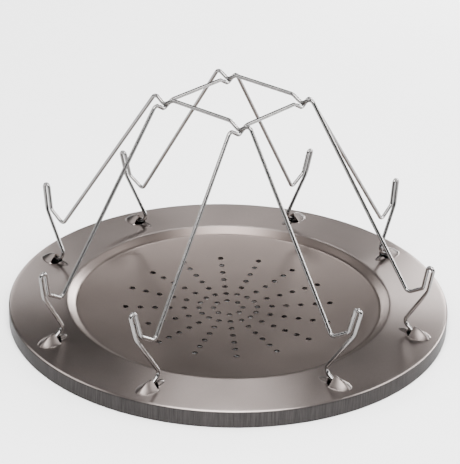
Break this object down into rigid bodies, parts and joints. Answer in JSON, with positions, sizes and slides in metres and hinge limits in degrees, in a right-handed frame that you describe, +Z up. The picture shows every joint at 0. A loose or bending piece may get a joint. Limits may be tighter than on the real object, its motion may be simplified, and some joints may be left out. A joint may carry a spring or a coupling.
{
  "type": "camp stove toast rack",
  "caption": "Round pressed-steel plate with a perforated dish and hinged bent-wire frames that hold slices of bread leaning over a stove and fold down flat.",
  "frame": {"origin": "centre of the plate's footprint, on the surface it stands on", "axes": "+Z up; a slice of bread leans on each of the +X, +Y, -X and -Y sides"},
  "size_m": [0.2286, 0.2286, 0.1212],
  "materials": {
    "plate_steel": "satin rolled sheet steel, brushed round the skirt",
    "wire_steel": "bright drawn wire"
  },
  "bodies": {
    "plate": {"base_plate": "plate_steel"},
    "right_frame": {"wire_frame_right": "wire_steel"},
    "back_frame": {"wire_frame_back": "wire_steel"},
    "left_frame": {"wire_frame_left": "wire_steel"},
    "front_frame": {"wire_frame_front": "wire_steel"}
  },
  "joints": [
    {"name": "right_fold", "type": "hinge", "parent": "plate", "child": "right_frame", "pos_m": [0.0329, 0, 0.0103], "axis": [0, -1, 0], "range_deg": [0, 85]},
    {"name": "left_fold", "type": "hinge", "parent": "plate", "child": "left_frame", "pos_m": [-0.0329, 0, 0.0103], "axis": [0, 1, 0], "range_deg": [0, 79.6]},
    {"name": "front_fold", "type": "hinge", "parent": "plate", "child": "front_frame", "pos_m": [0, -0.0329, 0.0103], "axis": [-1, 0, 0], "range_deg": [0, 68]},
    {"name": "back_fold", "type": "hinge", "parent": "plate", "child": "back_frame", "pos_m": [0, 0.0329, 0.0103], "axis": [1, 0, 0], "range_deg": [0, 57]}
  ]
}
